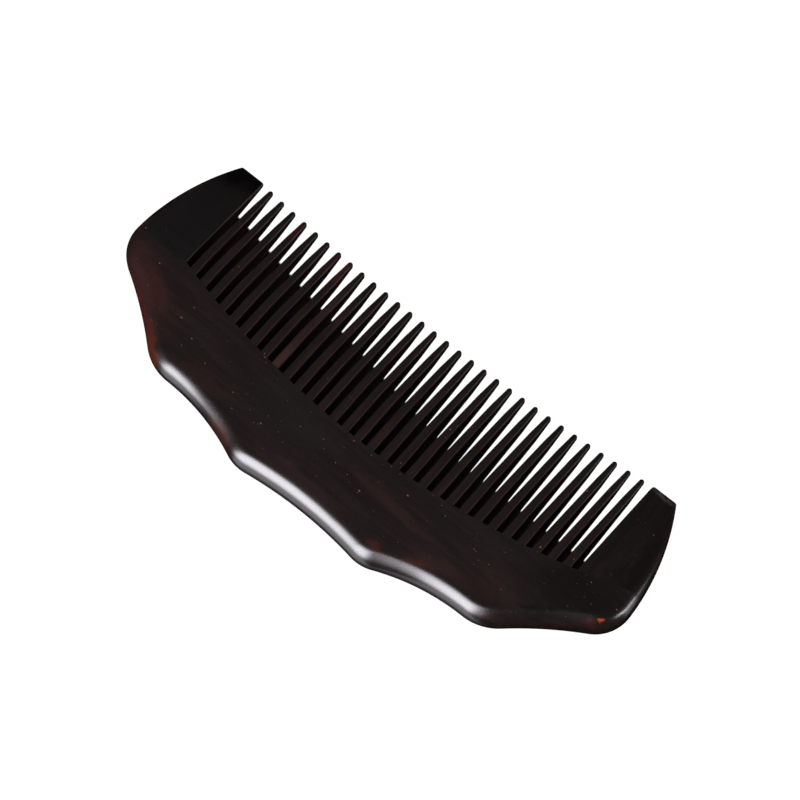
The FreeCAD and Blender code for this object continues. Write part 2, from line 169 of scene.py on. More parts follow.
class Graph:
    """Adds nodes to one node tree."""

    def __init__(self, tree: bpy.types.NodeTree) -> None:
        """Take over a tree and empty it."""
        self.tree = tree
        tree.nodes.clear()

    def node(self, kind: str, settings: Mapping[str, object] | None = None,
             inputs: Mapping[str | int, object] | None = None, output: str | int = 0) -> Wire | None:
        """Add a node.

        Args:
            kind: The node's type.
            settings: Properties of the node, which are set first.
            inputs: A value or a wire for each socket that differs from its default.
            output: The output that is handed on.

        Returns:
            The chosen output, or None for a node that has no outputs.
        """
        node = self.tree.nodes.new(kind)
        for name, value in (settings or {}).items():
            setattr(node, name, value)
        for name, value in (inputs or {}).items():
            if isinstance(value, Wire):
                self.tree.links.new(value.socket, node.inputs[name])
            else:
                node.inputs[name].default_value = value
        return Wire(self, node.outputs[output]) if node.outputs else None

    def maths(self, operation: str, *values: Number) -> Wire:
        """Work one sum out of values."""
        return self.node("ShaderNodeMath", {"operation": operation}, dict(enumerate(values)))

    def vector(self, x: Number, y: Number, z: Number) -> Wire:
        """A vector of three values."""
        return self.node("ShaderNodeCombineXYZ", None, {"X": x, "Y": y, "Z": z})

    def parts(self, vector: Wire) -> tuple[Wire, Wire, Wire]:
        """The three parts of a vector."""
        x = self.node("ShaderNodeSeparateXYZ", None, {"Vector": vector})
        return x, x.beside("Y"), x.beside("Z")

    def scale(self, vector: Wire, share: Number) -> Wire:
        """A vector or a colour, times a number."""
        return self.node("ShaderNodeVectorMath", {"operation": "SCALE"}, {0: vector, "Scale": share})

    def mix(self, share: Number, first: object, second: object) -> Wire:
        """Go from a first colour to a second one by a share between 0 and 1."""
        settings = {"data_type": "RGBA", "clamp_factor": True}
        return self.node("ShaderNodeMix", settings, {0: share, 6: first, 7: second}, output=2)


class Surface(Graph):
    """The node tree of a new material."""

    def __init__(self, name: str) -> None:
        """Start a material.

        Args:
            name: The material's name.
        """
        self.material = bpy.data.materials.new(name)
        self.material.use_nodes = True
        super().__init__(self.material.node_tree)

    def place(self) -> tuple[Wire, Wire, Wire]:
        """Place on the comb in millimetres: along it, from its back to its teeth, and upwards."""
        return self.parts(self.scale(self.node("ShaderNodeTexCoord", output="Object"), 1 / METRES))

    def finish(self, shader: Wire) -> bpy.types.Material:
        """Put the last shader on the material.

        Args:
            shader: The shader that covers the surface.

        Returns:
            The finished material.
        """
        self.node("ShaderNodeOutputMaterial", None, {"Surface": shader})
        return self.material


# ---------------------------------------------------------------- plane geometry


def plane(x: float, y: float) -> Vector:
    """A point or direction in the comb's plane."""
    return Vector((x, y))


def mirrored(place: Vector) -> Vector:
    """The same place on the other side of the comb's middle line."""
    return plane(-place.x, place.y)


def circle_centre(first: Vector, first_reach: float, second: Vector, second_reach: float,
                  side: int) -> Vector:
    """Find the centre at two given distances from two points.

    Args:
        first: The first point.
        first_reach: Distance of the centre from the first point.
        second: The second point.
        second_reach: Distance of the centre from the second point.
        side: 1 for the centre left of the way from first to second, -1 for the right.

    Returns:
        The centre.
    """
    along = second - first
    span = along.length
    foot = (first_reach**2 - second_reach**2 + span**2) / (2 * span)
    height = math.sqrt(first_reach**2 - foot**2)
    unit = along / span
    return first + unit * foot + plane(-unit.y, unit.x) * (side * height)


def towards(centre: Vector, target: Vector, distance: float) -> Vector:
    """The point at a distance from a centre on the line to a target."""
    return centre + (target - centre).normalized() * distance


@dataclass(frozen=True)
class Arc:
    """A round stretch of an outline, less than half a turn."""

    centre: Vector
    begin: Vector
    finish: Vector
    hollow: bool = False

    @property
    def radius(self) -> float:
        """Radius of the arc."""
        return (self.begin - self.centre).length

    @property
    def sweep(self) -> float:
        """Signed angle from begin to finish, anticlockwise positive."""
        arm, last = self.begin - self.centre, self.finish - self.centre
        return math.atan2(arm.x * last.y - arm.y * last.x, arm.dot(last))

    def walk(self, step: float) -> Iterator[tuple[Vector, Vector]]:
        """Walk along the arc.

        Args:
            step: Longest distance between two points.

        Returns:
            Places and outward directions, from begin up to the one before finish.
        """
        arm = self.begin - self.centre
        start = math.atan2(arm.y, arm.x)
        count = max(2, math.ceil(abs(self.sweep) * self.radius / step))
        for number in range(count):
            angle = start + self.sweep * number / count
            spoke = plane(math.cos(angle), math.sin(angle))
            yield self.centre + spoke * self.radius, -spoke if self.hollow else spoke

    def mirrored(self) -> "Arc":
        """The same arc on the other side of the comb, walked the same way round."""
        return Arc(mirrored(self.centre), mirrored(self.finish), mirrored(self.begin), self.hollow)


# ---------------------------------------------------------------- the comb's shape


@dataclass(frozen=True)
class CombShape:
    """Driving sizes of the comb, in the frame of the solids."""

    thickness: float
    row_end: float  # place of the guards' inner edges
    edge_round: float = 2.9
    root_line: float = -5.6
    root_radius: float = 178.0
    shoulder_past_row: float = 4.475
    shoulder_y: float = 0.5
    shoulder_radius: float = 7.9
    outer_bump_inside_row: float = 11.425
    outer_bump_y: float = -7.95
    outer_bump_radius: float = 10.5
    inner_bump_x: float = 14.05
    inner_bump_y: float = -14.65
    inner_bump_radius: float = 8.35
    end_scallop_radius: float = 80.0
    side_scallop_radius: float = 45.5
    middle_scallop_radius: float = 86.0
    guard_tip_width: float = 5.475
    guard_tip_y: float = 23.25
    guard_edge_radius: float = 47.0
    grind_start: float = 3.7
    tip_thickness: float = 1.2
    root_rim: float = 0.26
    tip_rim: float = 0.45

    @classmethod
    def from_frame(cls) -> "CombShape":
        """Read the thickness and the width of the row from the solids.

        Returns:
            The sizes.
        """
        spine_low, spine_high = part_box("spine_board")
        guard_low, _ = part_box("guard_right")
        return cls((spine_high.z - spine_low.z) / METRES, guard_low.x / METRES)

    @property
    def root_centre(self) -> Vector:
        """Centre of the spine's hollow front edge."""
        return plane(0.0, self.root_line + self.root_radius)

    @property
    def tip_corner(self) -> Vector:
        """Outer corner of the right guard's tip."""
        return plane(self.row_end + self.guard_tip_width, self.guard_tip_y)

    @property
    def shoulder(self) -> Vector:
        """Centre of the right shoulder."""
        return plane(self.row_end + self.shoulder_past_row, self.shoulder_y)

    @property
    def edge_centre(self) -> Vector:
        """Centre of the right guard's bowed outer edge."""
        return circle_centre(self.shoulder, self.guard_edge_radius - self.shoulder_radius,
                             self.tip_corner, self.guard_edge_radius, 1)

    @property
    def seam(self) -> Vector:
        """Outer end of the seam between the spine and the right guard."""
        return circle_centre(self.edge_centre, self.guard_edge_radius,
                             self.root_centre, self.root_radius, -1)

    def root_y(self, x: Number) -> Number:
        """Height of the spine's front edge at a place along the comb."""
        return self.root_centre.y - square_root(self.root_radius**2 - x**2)

    def root_direction(self, x: float) -> Vector:
        """Direction of the spine's front edge at a place, towards the right."""
        arm = plane(x, self.root_y(x)) - self.root_centre
        return plane(-arm.y, arm.x).normalized()

    def half_thickness(self, y: Number) -> Number:
        """Half the thickness at a height, less above the grinding line."""
        ground = within((y - self.grind_start) / (self.guard_tip_y - self.grind_start))
        return (self.thickness + (self.tip_thickness - self.thickness) * ground) / 2

    def slot_rim(self, y: Number) -> Number:
        """Rounding of the rims along the slots at a height, eased towards the tips."""
        share = within((y - self.root_line) / (self.guard_tip_y - self.root_line))
        return self.root_rim + (self.tip_rim - self.root_rim) * share

    def back(self) -> list[Arc]:
        """Draw the scalloped back.

        Returns:
            Its arcs, from the right-hand seam round to the left-hand one.
        """
        shoulder = self.shoulder
        outer = plane(self.row_end - self.outer_bump_inside_row, self.outer_bump_y)
        inner = plane(self.inner_bump_x, self.inner_bump_y)
        end = circle_centre(shoulder, self.end_scallop_radius + self.shoulder_radius,
                            outer, self.end_scallop_radius + self.outer_bump_radius, 1)
        side = circle_centre(outer, self.side_scallop_radius + self.outer_bump_radius,
                             inner, self.side_scallop_radius + self.inner_bump_radius, 1)
        reach = self.middle_scallop_radius + self.inner_bump_radius
        middle = circle_centre(inner, reach, mirrored(inner), reach, 1)
        edge_to_shoulder = towards(self.edge_centre, shoulder, self.guard_edge_radius)
        shoulder_to_end = towards(shoulder, end, self.shoulder_radius)
        end_to_outer = towards(outer, end, self.outer_bump_radius)
        outer_to_side = towards(outer, side, self.outer_bump_radius)
        side_to_inner = towards(inner, side, self.inner_bump_radius)
        inner_to_middle = towards(inner, middle, self.inner_bump_radius)
        right = [
            Arc(self.edge_centre, self.seam, edge_to_shoulder),
            Arc(shoulder, edge_to_shoulder, shoulder_to_end),
            Arc(end, shoulder_to_end, end_to_outer, hollow=True),
            Arc(outer, end_to_outer, outer_to_side),
            Arc(side, outer_to_side, side_to_inner, hollow=True),
            Arc(inner, side_to_inner, inner_to_middle),
        ]
        centre = Arc(middle, inner_to_middle, mirrored(inner_to_middle), hollow=True)
        return right + [centre] + [arc.mirrored() for arc in reversed(right)]


# ---------------------------------------------------------------- meshes


def finish_mesh(name: str, mesh: bmesh.types.BMesh) -> bpy.types.Object:
    """Close a mesh, point its faces outwards and make it a smooth object.

    Args:
        name: Name of the new object.
        mesh: The mesh, in metres, which is used up.

    Returns:
        The object, linked to the scene.
    """
    bmesh.ops.scale(mesh, vec=(SNUG, SNUG, SNUG), verts=mesh.verts)
    bmesh.ops.remove_doubles(mesh, verts=mesh.verts, dist=WELD)
    bmesh.ops.dissolve_degenerate(mesh, edges=mesh.edges, dist=WELD)
    bmesh.ops.recalc_face_normals(mesh, faces=mesh.faces)
    data = bpy.data.meshes.new(name)
    mesh.to_mesh(data)
    mesh.free()
    data.shade_smooth()
    data.set_sharp_from_angle(angle=SHARP_ANGLE)
    piece = bpy.data.objects.new(name, data)
    bpy.context.scene.collection.objects.link(piece)
    return piece


def add_strip(mesh: bmesh.types.BMesh, first: list[bmesh.types.BMVert],
              second: list[bmesh.types.BMVert]) -> None:
    """Join two rows of points by a strip of faces."""
    for (near, far), (near_across, far_across) in zip(pairwise(first), pairwise(second)):
        mesh.faces.new((near, far, far_across, near_across))


@dataclass(frozen=True)
class RimPoint:
    """A point of a board's edge, with the rounding that the edge has there."""

    place: Vector
    outward: Vector
    across: float  # how far the rounding reaches into the face
    depth: float  # how far it reaches down from the face


@dataclass(frozen=True)
class Board:
    """A flat piece with a rounded edge along a path, closed by a stretch of the root arc."""

    shape: CombShape
    name: str
    path: list[RimPoint]
    cut_axis: Vector
    cuts: list[float]
    mirror: bool = False
    turn_length: float = 5.0  # stretch over which the rounding turns to follow the seam
    inset: float = 0.15  # flat strip inside the rounding, which keeps the face flat
    seam_clearance: float = 1.2  # widths of rim between the path's ends and the seam's own points
    arc_steps: int = 12
    seam_step: float = 1.0
    cut_tolerance: float = 1e-5

    def travelled(self) -> list[float]:
        """Distance along the path to each of its points."""
        steps = ((after.place - before.place).length for before, after in pairwise(self.path))
        return list(accumulate(steps, initial=0.0))

    def inward(self, number: int, travelled: Sequence[float]) -> Vector:
        """Find the direction in which the rounding at a rim point reaches into the face.

        Args:
            number: The rim point's place in the path.
            travelled: Distance along the path to each rim point.

        Returns:
            The direction, as long as one step square to the edge needs.
        """
        point = self.path[number]
        straight = -point.outward
        for end, distance in ((0, travelled[number]), (-1, travelled[-1] - travelled[number])):
            if distance < self.turn_length:
                along = self.shape.root_direction(self.path[end].place.x)
                if along.dot(-self.path[end].outward) < 0:
                    along = -along
                share = (1 - distance / self.turn_length) ** 2
                straight = straight.lerp(along, share).normalized()
        return straight / straight.dot(-point.outward)

    def section(self, point: RimPoint, inward: Vector) -> list[Vector]:
        """Cross the rounded edge.

        Args:
            point: The rim point at which the edge is crossed.
            inward: Direction in which the rounding reaches into the face there.

        Returns:
            Points from the upper face round to the lower one.
        """
        half = self.shape.thickness / 2
        upper = [(point.across + self.inset, half)]
        for number in range(self.arc_steps + 1):
            angle = QUARTER_TURN * number / self.arc_steps
            upper.append((point.across * (1 - math.sin(angle)),
                          half - point.depth * (1 - math.cos(angle))))
        lower = [(reach, -height) for reach, height in reversed(upper)]
        return [(point.place + inward * reach).to_3d() + Vector((0, 0, height))
                for reach, height in upper + lower]

    def seam_points(self) -> list[Vector]:
        """Follow the root arc between the path's two ends.

        Returns:
            Places on the arc, from the path's end to its start.
        """
        start, finish = self.path[-1], self.path[0]
        way = 1 if finish.place.x > start.place.x else -1
        first = start.place.x + way * self.seam_clearance * (start.across + self.inset)
        last = finish.place.x - way * self.seam_clearance * (finish.across + self.inset)
        count = max(2, math.ceil(abs(last - first) / self.seam_step))
        places = (first + (last - first) * n / count for n in range(count + 1))
        return [plane(x, self.shape.root_y(x)) for x in places]

    def ground(self, place: Vector) -> Vector:
        """Grind both faces, and mirror the board if it asks for that.

        Args:
            place: A point of the whole board, with its height counted from the middle plane.

        Returns:
            Where the point comes to lie.
        """
        middle = self.shape.thickness / 2
        lean = self.shape.half_thickness(place.y) / middle
        return Vector((-place.x if self.mirror else place.x, place.y, middle + place.z * lean))

    def cut(self, mesh: bmesh.types.BMesh, faces: list[bmesh.types.BMFace]) -> None:
        """Cut the two large faces into strips.

        Args:
            mesh: The board's mesh.
            faces: The two faces.
        """
        for distance in self.cuts:
            geometry = {part for face in faces for part in (face, *face.edges, *face.verts)}
            result = bmesh.ops.bisect_plane(
                mesh, geom=list(geometry), dist=self.cut_tolerance,
                plane_co=self.cut_axis * distance, plane_no=self.cut_axis)
            faces = [part for part in result["geom"] if isinstance(part, bmesh.types.BMFace)]

    def build(self) -> bpy.types.Object:
        """Build the board's mesh.

        Returns:
            The finished object, at the origin.
        """
        mesh = bmesh.new()
        travelled = self.travelled()
        rows = [[mesh.verts.new(place) for place in self.section(point, self.inward(n, travelled))]
                for n, point in enumerate(self.path)]
        for row, following in pairwise(rows):
            add_strip(mesh, row, following)
        half = self.shape.thickness / 2
        upper, lower = ([mesh.verts.new((*place, height)) for place in self.seam_points()]
                        for height in (half, -half))
        add_strip(mesh, upper, lower)
        mesh.faces.new([upper[-1], *rows[0], lower[-1]])
        mesh.faces.new([upper[0], *rows[-1], lower[0]])
        self.cut(mesh, [mesh.faces.new([row[0] for row in rows] + upper),
                        mesh.faces.new([row[-1] for row in rows] + lower)])
        for vert in mesh.verts:
            vert.co = self.ground(vert.co) * METRES
        return finish_mesh(self.name, mesh)


# ---------------------------------------------------------------- parts of the comb


@dataclass(frozen=True)
class Part:
    """A part of the comb, made of one wood."""

    slot: ClassVar[str]  # the record's name for the part's finish

    shape: CombShape
    wood: bpy.types.Material

    def build(self) -> dict[str, bpy.types.Object]:
        """Build the part's pieces.

        Returns:
            The piece that stands for each solid, by the solid's name.
        """
        raise NotImplementedError

    def dress(self, pieces: Mapping[str, bpy.types.Object]) -> None:
        """Let each piece stand for its solid, in the part's wood.

        Args:
            pieces: The pieces, by the names of their solids.
        """
        for node, piece in pieces.items():
            piece.data.materials.append(self.wood)
            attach(piece, "root")
            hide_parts(node)
            log.info("%s: %d faces", piece.name, len(piece.data.polygons))


@dataclass(frozen=True)
class Spine(Part):
    """The scalloped back of the comb, with its edge rounded nearly to a half circle."""

    slot = "spine_wood"

    step: float = 0.4  # longest distance between two points of the edge
    strip: float = 4.0  # greatest width of the strips that make up the flat faces

    def build(self) -> dict[str, bpy.types.Object]:
        """Build the spine.

        Returns:
            The finished piece, by the name of its solid.
        """
        rounding = self.shape.edge_round
        path = [RimPoint(place, outward, rounding, rounding)
                for arc in self.shape.back() for place, outward in arc.walk(self.step)]
        path.append(RimPoint(mirrored(path[0].place), mirrored(path[0].outward), rounding, rounding))
        reach = self.shape.tip_corner.x
        count = math.ceil(2 * reach / self.strip)
        cuts = [-reach + 2 * reach * n / count for n in range(count + 1)]
        return {"spine_board": Board(self.shape, "spine", path, Vector((1, 0, 0)), cuts).build()}


@dataclass(frozen=True)
class Guard(Part):
    """An end guard: a wide tooth with a bowed outer edge and a flat tip."""

    slot = "guard_wood"

    mirror: bool
    step: float = 0.5  # longest distance between two points of the long edges
    strip: float = 3.0  # width of the strips that make up the ground faces
    corner_radius: float = 0.6  # of the tip's two corners, seen from above
    corner_step: float = 0.075
    outer_tip_across: float = 0.75  # how far the rounding reaches into the face at the outer corner
    tip_across: float = 0.6  # the same along the tip
    inner_tip_across: float = 0.54  # the same where the inner corner begins

    @property
    def outer_centre(self) -> Vector:
        """Find the middle of the rounded corner between the bowed edge and the flat tip.

        Returns:
            The centre of the corner's arc.
        """
        centre = self.shape.edge_centre
        y = self.shape.guard_tip_y - self.corner_radius
        reach = self.shape.guard_edge_radius - self.corner_radius
        return plane(centre.x + math.sqrt(reach**2 - (y - centre.y) ** 2), y)

    @property
    def inner_centre(self) -> Vector:
        """Centre of the rounded corner between the flat tip and the first slot."""
        radius = self.corner_radius
        return plane(self.shape.row_end + radius, self.shape.guard_tip_y - radius)

    def bowed_edge(self) -> list[RimPoint]:
        """Follow the outer edge, whose rounding narrows from the grinding line to the tip.

        Returns:
            The edge's points, from the seam to the outer corner.
        """
        shape, centre, corner = self.shape, self.shape.edge_centre, self.outer_centre
        edge = Arc(centre, shape.seam, towards(centre, corner, shape.guard_edge_radius))
        points = []
        for place, outward in edge.walk(self.step):
            eased = within((place.y - shape.grind_start) / (corner.y - shape.grind_start))
            across = shape.edge_round + (self.outer_tip_across - shape.edge_round) * eased
            points.append(RimPoint(place, outward, across, shape.edge_round))
        return points

    def corner(self, centre: Vector, first: Vector, last: Vector, across: tuple[float, float],
               depth: float) -> list[RimPoint]:
        """Follow a rounded corner of the tip, with its edge rounding changing on the way.

        Args:
            centre: Centre of the corner's arc.
            first: Outward direction at its start.
            last: Outward direction at its end.
            across: How far the rounding reaches into the face at its start and at its end.
            depth: How far the rounding reaches down from the face.

        Returns:
            The corner's points, from its start to its end.
        """
        arc = Arc(centre, centre + first * self.corner_radius, centre + last * self.corner_radius)
        points = [*arc.walk(self.corner_step), (arc.finish, last)]
        begin, finish = across
        return [RimPoint(place, outward, begin + (finish - begin) * n / (len(points) - 1), depth)
                for n, (place, outward) in enumerate(points)]

    def tip(self) -> list[RimPoint]:
        """Follow the flat tip with its two corners.

        Returns:
            The tip's points, from the outer corner to the inner one.
        """
        shape = self.shape
        leave = (self.outer_centre - shape.edge_centre).normalized()
        up, inwards = plane(0, 1), plane(-1, 0)
        outer_across = (self.outer_tip_across, self.tip_across)
        inner_across = (self.inner_tip_across, shape.slot_rim(self.inner_centre.y))
        inner_depth = self.tip_across * shape.thickness / shape.tip_thickness
        return (self.corner(self.outer_centre, leave, up, outer_across, shape.edge_round)
                + self.corner(self.inner_centre, up, inwards, inner_across, inner_depth))

    def slot_edge(self) -> list[RimPoint]:
        """Follow the straight edge beside the first slot.

        Returns:
            The edge's points, from the tip's inner corner to the root.
        """
        shape = self.shape
        top = plane(shape.row_end, self.inner_centre.y)
        foot = plane(shape.row_end, shape.root_y(shape.row_end))
        count = math.ceil((top - foot).length / self.step)
        points = []
        for n in range(1, count + 1):
            place = top.lerp(foot, n / count)
            rim = shape.slot_rim(place.y)
            lean = shape.thickness / 2 / shape.half_thickness(place.y)
            points.append(RimPoint(place, plane(-1, 0), rim, rim * lean))
        return points

    def build(self) -> dict[str, bpy.types.Object]:
        """Build the guard.

        Returns:
            The finished piece, by the name of its solid.
        """
        shape = self.shape
        count = math.floor((shape.guard_tip_y - shape.grind_start) / self.strip)
        cuts = [shape.grind_start + self.strip * n for n in range(count)]
        path = self.bowed_edge() + self.tip() + self.slot_edge()
        node = "guard_left" if self.mirror else "guard_right"
        board = Board(shape, f"{node}_wood", path, Vector((0, 1, 0)), cuts, self.mirror)
        return {node: board.build()}


@dataclass(frozen=True)
class Teeth(Part):
    """The row of teeth: a long gentle taper, then a quicker one to a round, thinner tip.

    A tooth is a grid wrapped around its own length. Row -1 closes its foot, row 0 lies on the root
    line and row 1 on the grinding line, and then follow the rows to the knee, to the cap and over it.
    """

    slot = "tooth_wood"

    nodes: list[str]
    knee_width: float = 1.42
    knee_to_tip: float = 5.0
    tip_width: float = 1.0
    most_rim: float = 0.98  # share of half the width that a rounded rim may take
    corner_steps: int = 6
    long_rows: int = 4
    short_rows: int = 3
    cap_rows: int = 5

    def grid(self, graph: Graph) -> tuple[Wire, Wire, Wire]:
        """Lay out the flat grid.

        Args:
            graph: The tooth's node tree.

        Returns:
            The grid, and the numbers of the column and the row of each of its points.
        """
        columns = 4 * self.corner_steps
        rows = 2 + self.long_rows + self.short_rows + self.cap_rows
        grid = graph.node("GeometryNodeMeshGrid", None, {
            "Size X": float(columns), "Size Y": float(rows),
            "Vertices X": columns + 1, "Vertices Y": rows + 1})
        x, y, _ = graph.parts(graph.node("GeometryNodeInputPosition"))
        column = graph.maths("ROUND", x + columns / 2)
        return grid, column, graph.maths("ROUND", y + rows / 2) - 1

    def lengthwise(self, graph: Graph, row: Wire, root: Wire, width: Wire,
                   tip: Wire) -> tuple[Wire, Wire, Wire]:
        """Follow the tooth from its root to its tip.

        Args:
            graph: The tooth's node tree.
            row: Number of a row.
            root: Height of the tooth's root.
            width: Its width at the root.
            tip: Height of its tip.

        Returns:
            Height of the row, half the tooth's width there, and how far the row has turned over the cap.
        """
        half_root, half_knee, half_tip = width / 2, self.knee_width / 2, self.tip_width / 2
        knee = tip - self.knee_to_tip
        cap_start = tip - half_tip
        past_grinding = within((row - 1) / self.long_rows)
        past_knee = within((row - 1 - self.long_rows) / self.short_rows)
        over_cap = within((row - 1 - self.long_rows - self.short_rows) / self.cap_rows) * QUARTER_TURN
        to_grinding = (self.shape.grind_start - root) / (knee - root)
        way = to_grinding * within(row) + (1 - to_grinding) * past_grinding
        y = (root + (knee - root) * way + (cap_start - knee) * past_knee
             + half_tip * graph.maths("SINE", over_cap))
        half = half_root + (half_knee - half_root) * way + (half_tip - half_knee) * past_knee
        return y, half * graph.maths("COSINE", over_cap) * within(row + 1), over_cap

    def around(self, graph: Graph, column: Wire) -> tuple[Wire, Wire, Wire]:
        """Go around the tooth, over its four rounded corners.

        Args:
            graph: The tooth's node tree.
            column: Number of a column.

        Returns:
            The direction that the column faces, 1 for the right side or -1 for the left, and 1 for
            the upper face or -1 for the lower.
        """
        corner = graph.maths("FLOOR", column / self.corner_steps)
        turned = (column - corner * self.corner_steps) / (self.corner_steps - 1)
        middle = (corner + 0.5) * QUARTER_TURN
        side = graph.maths("SIGN", graph.maths("COSINE", middle))
        face = graph.maths("SIGN", graph.maths("SINE", middle))
        return (corner + turned) * QUARTER_TURN, side, face

    def tree(self) -> bpy.types.NodeTree:
        """Make the node tree that shapes one tooth.

        Returns:
            The tree, whose inputs are the tooth's own sizes.
        """
        tree = bpy.data.node_groups.new("one_tooth", "GeometryNodeTree")
        tree.interface.new_socket("Geometry", in_out="OUTPUT", socket_type="NodeSocketGeometry")
        for name in ("Place", "Width", "Tip"):
            tree.interface.new_socket(name, in_out="INPUT", socket_type="NodeSocketFloat")
        graph = Graph(tree)
        place = graph.node("NodeGroupInput", output="Place")
        shape, root = self.shape, self.shape.root_y(place)
        grid, column, row = self.grid(graph)
        row_y, reach, over_cap = self.lengthwise(graph, row, root, place.beside("Width"),
                                                 place.beside("Tip"))
        facing, side, face = self.around(graph, column)
        rim = shape.slot_rim(row_y)
        rim_across = rim.least(reach * self.most_rim)
        x = place + side * (reach - rim_across) + rim_across * graph.maths("COSINE", facing)
        y = row_y + (shape.root_y(x) - root) * (1 - within(row))
        half = shape.half_thickness(y) - rim * (1 - graph.maths("COSINE", over_cap))
        z = (shape.thickness / 2 + face * (half - rim_across)
             + rim_across * graph.maths("SINE", facing))
        spot = graph.vector(x * METRES, y * METRES, z * METRES)
        shaped = graph.node("GeometryNodeSetPosition", None, {"Geometry": grid, "Position": spot})
        closed = graph.node("GeometryNodeMergeByDistance", None, {"Geometry": shaped, "Distance": WELD})
        real = graph.node("GeometryNodeRealizeInstances", None, {"Geometry": closed})
        dressed = graph.node("GeometryNodeSetMaterial", None, {"Geometry": real, "Material": self.wood})
        graph.node("NodeGroupOutput", None, {"Geometry": dressed})
        return tree

    def build(self) -> dict[str, bpy.types.Object]:
        """Build the teeth.

        Returns:
            The tooth that stands for each solid, by the solid's name.
        """
        tree = self.tree()
        sockets = {item.name: item.identifier for item in tree.interface.items_tree
                   if item.in_out == "INPUT"}
        teeth = {}
        for node in self.nodes:
            low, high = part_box(node)
            blank = bpy.data.objects.new(f"{node}_blank", bpy.data.meshes.new(f"{node}_blank"))
            bpy.context.scene.collection.objects.link(blank)
            modifier = blank.modifiers.new("shape", "NODES")
            modifier.node_group = tree
            modifier[sockets["Place"]] = (low.x + high.x) / 2 / METRES
            modifier[sockets["Width"]] = (high.x - low.x) / METRES
            modifier[sockets["Tip"]] = high.y / METRES
            depsgraph = bpy.context.evaluated_depsgraph_get()
            shaped = bpy.data.meshes.new_from_object(blank.evaluated_get(depsgraph), depsgraph=depsgraph)
            mesh = bmesh.new()
            mesh.from_mesh(shaped)
            teeth[node] = finish_mesh(f"{node}_wood", mesh)
            bpy.data.objects.remove(blank)
            bpy.data.meshes.remove(shaped)
        bpy.data.node_groups.remove(tree)
        return teeth


# ---------------------------------------------------------------- finishes


def colour_of(tone: Tone) -> tuple[float, ...]:
    """Turn a tone into the colour of light that a screen shows for it.

    Args:
        tone: The tone.

    Returns:
        The colour's linear parts, and 1 for its cover.
    """
    parts = [part / 255 for part in tone]
    linear = [part / 12.92 if part <= 0.04045 else ((part + 0.055) / 1.055) ** 2.4 for part in parts]
    return (*linear, 1.0)


class Grain(enum.Enum):
    """Which way the wood's fibres run."""

    ALONG_COMB = "along the comb"
    ALONG_TEETH = "along the teeth"


@dataclass(frozen=True)
class Noise:
    """A soft irregular pattern, stretched along the grain."""

    length: float  # of its patches, along the grain
    width: float  # of its patches, across the grain
    detail: float
    offset: float = 0.0  # patches by which it is moved along the grain
    roughness: float = 0.55


class WoodTree(Surface):
    """The node tree of a wood, with patterns that follow its grain."""

    def __init__(self, name: str, grain: Grain) -> None:
        """Start the wood's material.

        Args:
            name: Name of the material.
            grain: Which way the fibres run.
        """
        super().__init__(name)
        self.x, self.y, self.depth = self.place()
        lengthwise = grain is Grain.ALONG_COMB
        self.along, self.across = (self.x, self.y) if lengthwise else (self.y, self.x)
        _, _, upward = self.parts(self.node("ShaderNodeTexCoord", output="Normal"))
        self.level = abs(upward)  # 1 on the flat faces and 0 on upright walls
        self.noises: dict[Noise, Wire] = {}

    def patches(self, length: float, width: float, offset: float = 0.0) -> Wire:
        """Place counted in patches of one length along the grain and one width across it."""
        return self.vector(self.along / length + offset, self.across / width, self.depth / width)

    def noise(self, noise: Noise) -> Wire:
        """Read a noise, whose nodes are added once.

        Args:
            noise: The pattern.

        Returns:
            Its value, about 0.5 on average.
        """
        if noise not in self.noises:
            spot = self.patches(noise.length, noise.width, noise.offset)
            self.noises[noise] = self.node("ShaderNodeTexNoise", None, {
                "Vector": spot, "Scale": 1.0, "Detail": noise.detail, "Roughness": noise.roughness,
            }, output="Fac")
        return self.noises[noise]

    def cells(self, length: float, width: float) -> tuple[Wire, Wire]:
        """Scatter spots over the wood.

        Args:
            length: Distance between them along the grain.
            width: Distance between them across the grain.

        Returns:
            The distance to the nearest, in those distances, and a chance value for it.
        """
        distance = self.node("ShaderNodeTexVoronoi", {"feature": "F1"}, {
            "Vector": self.patches(length, width), "Scale": 1.0}, output="Distance")
        chance, _, _ = self.parts(distance.beside("Color"))
        return distance, chance


@dataclass(frozen=True)
class Tint:
    """A soft oval patch of another tone in the wood."""

    x: float
    y: float
    reach: float  # half its length
    breadth: float  # half its width
    lean: float  # angle from the comb's length
    tone: Tone
    strength: float
    rim_share: float = 0.2019  # share of its strength that is left at its rim

    def share(self, x: Wire, y: Wire) -> Wire:
        """Work out how much of the tint shows: most in its middle, less and less away from it.

        Args:
            x: Place along the comb.
            y: Place from its back towards its teeth.

        Returns:
            The share.
        """
        cosine, sine = math.cos(math.radians(self.lean)), math.sin(math.radians(self.lean))
        right, up = x - self.x, y - self.y
        length = (right * cosine + up * sine) / self.reach
        width = (up * cosine - right * sine) / self.breadth
        spread = length**2 + width**2
        return self.rim_share ** (spread * spread.least(1.0)) * self.strength


@dataclass(frozen=True)
class Layer:
    """Another tone of the heartwood, which shows where a noise is high."""

    noise: Noise
    span: Span  # values of the noise
    tone: Tone
    strength: float = 1.0


@dataclass(frozen=True)
class Pores:
    """Short dark vessels along the grain."""

    length: float = 1.5
    spacing: float = 0.42
    size: Span = (0.3, 0.16)  # distances from a pore's middle, in spacings
    chance: Span = (0.45, 0.6)
    tone: Tone = (14, 8, 7)
    strength: float = 0.45
    dullness: float = 0.04
    depth: float = 0.0008

    def marks(self, tree: WoodTree) -> Wire:
        """1 in the pores and 0 between them."""
        distance, chance = tree.cells(self.length, self.spacing)
        return distance.ramp(*self.size) * chance.ramp(*self.chance)


